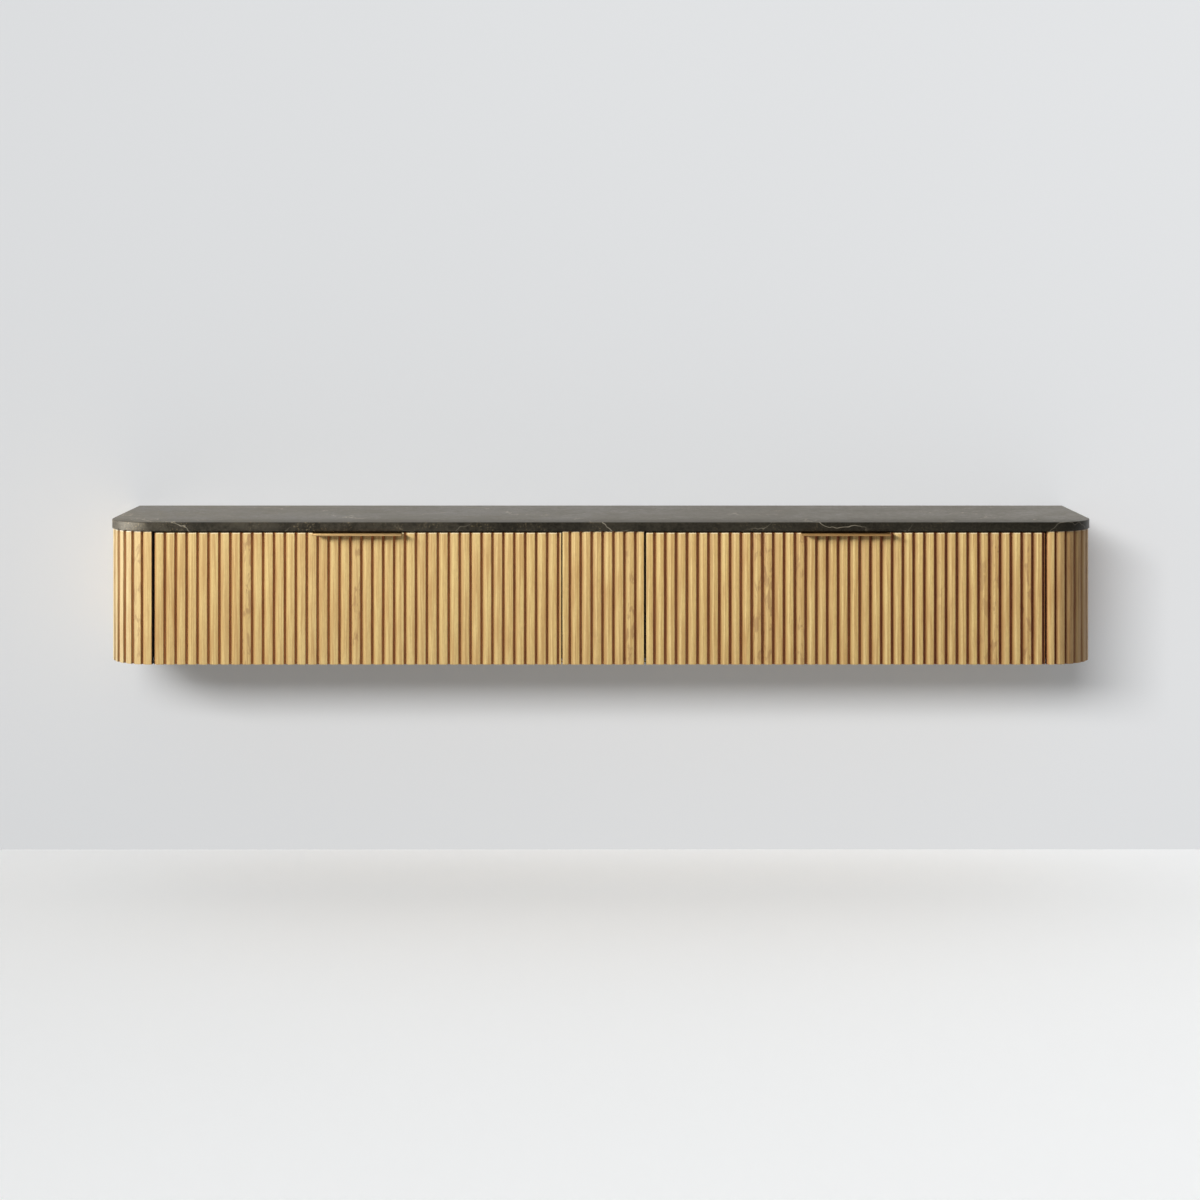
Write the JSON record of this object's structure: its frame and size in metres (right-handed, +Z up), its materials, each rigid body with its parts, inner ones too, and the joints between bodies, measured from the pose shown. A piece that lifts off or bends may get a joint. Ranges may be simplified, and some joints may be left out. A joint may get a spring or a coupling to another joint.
{
  "type": "floating media console",
  "caption": "Wall-hung media console with a dark marble top, rounded corners, reeded oak fronts, two drop-down flap doors with brass edge pulls and braked stays.",
  "frame": {"origin": "middle bolt hole of the wall cleat, on the wall plane", "axes": "+X to the viewer's right along the console, front faces -Y, wall at Y = 0, +Z up"},
  "size_m": [2.134, 0.421, 0.306],
  "materials": {
    "stone": "dark honed marble",
    "reeded_oak": "natural oak, matt oiled",
    "oak_board": "oak-faced board, matt",
    "core_board": "oak-veneered core board",
    "cleat_ply": "birch plywood",
    "pull_brass": "satin brass",
    "stay_steel": "nickel-plated steel",
    "housing_plastic": "dark grey moulded plastic",
    "nylon": "natural nylon",
    "catch_plastic": "black moulded plastic"
  },
  "bodies": {
    "cabinet": {"stone_top": "stone", "top_panel": "oak_board", "bottom_panel": "oak_board", "left_divider": "oak_board", "right_divider": "oak_board", "left_end_panel": "oak_board", "right_end_panel": "oak_board", "back_panel": "oak_board", "hanging_cleat": "cleat_ply", "wall_cleat": "cleat_ply", "wall_spacers": "cleat_ply", "left_end_core": "core_board", "left_end_reeds": "reeded_oak", "right_end_core": "core_board", "right_end_reeds": "reeded_oak", "centre_core": "core_board", "centre_reeds": "reeded_oak", "hinge_blocks": "nylon", "left_catch": "catch_plastic", "right_catch": "catch_plastic", "left_outer_stay_housing": "housing_plastic", "left_inner_stay_housing": "housing_plastic", "right_inner_stay_housing": "housing_plastic", "right_outer_stay_housing": "housing_plastic"},
    "left_door": {"left_door_core": "core_board", "left_door_reeds": "reeded_oak", "left_pull": "pull_brass", "left_hinge_pins": "stay_steel", "left_strike": "stay_steel", "left_outer_stay_bracket": "stay_steel", "left_inner_stay_bracket": "stay_steel"},
    "right_door": {"right_door_core": "core_board", "right_door_reeds": "reeded_oak", "right_pull": "pull_brass", "right_hinge_pins": "stay_steel", "right_strike": "stay_steel", "right_inner_stay_bracket": "stay_steel", "right_outer_stay_bracket": "stay_steel"},
    "left_outer_arm": {"left_outer_stay_arm": "stay_steel"},
    "left_outer_link": {"left_outer_stay_link": "stay_steel"},
    "left_inner_arm": {"left_inner_stay_arm": "stay_steel"},
    "left_inner_link": {"left_inner_stay_link": "stay_steel"},
    "right_inner_arm": {"right_inner_stay_arm": "stay_steel"},
    "right_inner_link": {"right_inner_stay_link": "stay_steel"},
    "right_outer_arm": {"right_outer_stay_arm": "stay_steel"},
    "right_outer_link": {"right_outer_stay_link": "stay_steel"}
  },
  "joints": [
    {"name": "left_door_hinge", "type": "hinge", "parent": "cabinet", "child": "left_door", "pos_m": [-0.5231, -0.385, -0.183], "axis": [1, 0, 0], "range_deg": [0, 90]},
    {"name": "right_door_hinge", "type": "hinge", "parent": "cabinet", "child": "right_door", "pos_m": [0.52565, -0.385, -0.183], "axis": [1, 0, 0], "range_deg": [0, 90]},
    {"name": "left_outer_arm_pivot", "type": "hinge", "parent": "cabinet", "child": "left_outer_arm", "pos_m": [-0.953, -0.315, -0.123], "axis": [1, 0, 0], "range_deg": [0, 90]},
    {"name": "left_outer_elbow", "type": "hinge", "parent": "left_outer_arm", "child": "left_outer_link", "pos_m": [-0.9495, -0.295, 0.039], "axis": [1, 0, 0], "range_deg": [-90, 0]},
    {"name": "left_inner_arm_pivot", "type": "hinge", "parent": "cabinet", "child": "left_inner_arm", "pos_m": [-0.0932, -0.315, -0.123], "axis": [1, 0, 0], "range_deg": [0, 90]},
    {"name": "left_inner_elbow", "type": "hinge", "parent": "left_inner_arm", "child": "left_inner_link", "pos_m": [-0.0967, -0.295, 0.039], "axis": [1, 0, 0], "range_deg": [-90, 0]},
    {"name": "right_inner_arm_pivot", "type": "hinge", "parent": "cabinet", "child": "right_inner_arm", "pos_m": [0.1046, -0.315, -0.123], "axis": [1, 0, 0], "range_deg": [0, 90]},
    {"name": "right_inner_elbow", "type": "hinge", "parent": "right_inner_arm", "child": "right_inner_link", "pos_m": [0.1081, -0.295, 0.039], "axis": [1, 0, 0], "range_deg": [-90, 0]},
    {"name": "right_outer_arm_pivot", "type": "hinge", "parent": "cabinet", "child": "right_outer_arm", "pos_m": [0.9467, -0.315, -0.123], "axis": [1, 0, 0], "range_deg": [0, 90]},
    {"name": "right_outer_elbow", "type": "hinge", "parent": "right_outer_arm", "child": "right_outer_link", "pos_m": [0.9432, -0.295, 0.039], "axis": [1, 0, 0], "range_deg": [-90, 0]}
  ],
  "couplings": [
    {"joint": "left_outer_arm_pivot", "follows": "left_door_hinge", "ratio": 1},
    {"joint": "left_outer_elbow", "follows": "left_door_hinge", "ratio": -1},
    {"joint": "left_inner_arm_pivot", "follows": "left_door_hinge", "ratio": 1},
    {"joint": "left_inner_elbow", "follows": "left_door_hinge", "ratio": -1},
    {"joint": "right_inner_arm_pivot", "follows": "right_door_hinge", "ratio": 1},
    {"joint": "right_inner_elbow", "follows": "right_door_hinge", "ratio": -1},
    {"joint": "right_outer_arm_pivot", "follows": "right_door_hinge", "ratio": 1},
    {"joint": "right_outer_elbow", "follows": "right_door_hinge", "ratio": -1}
  ]
}
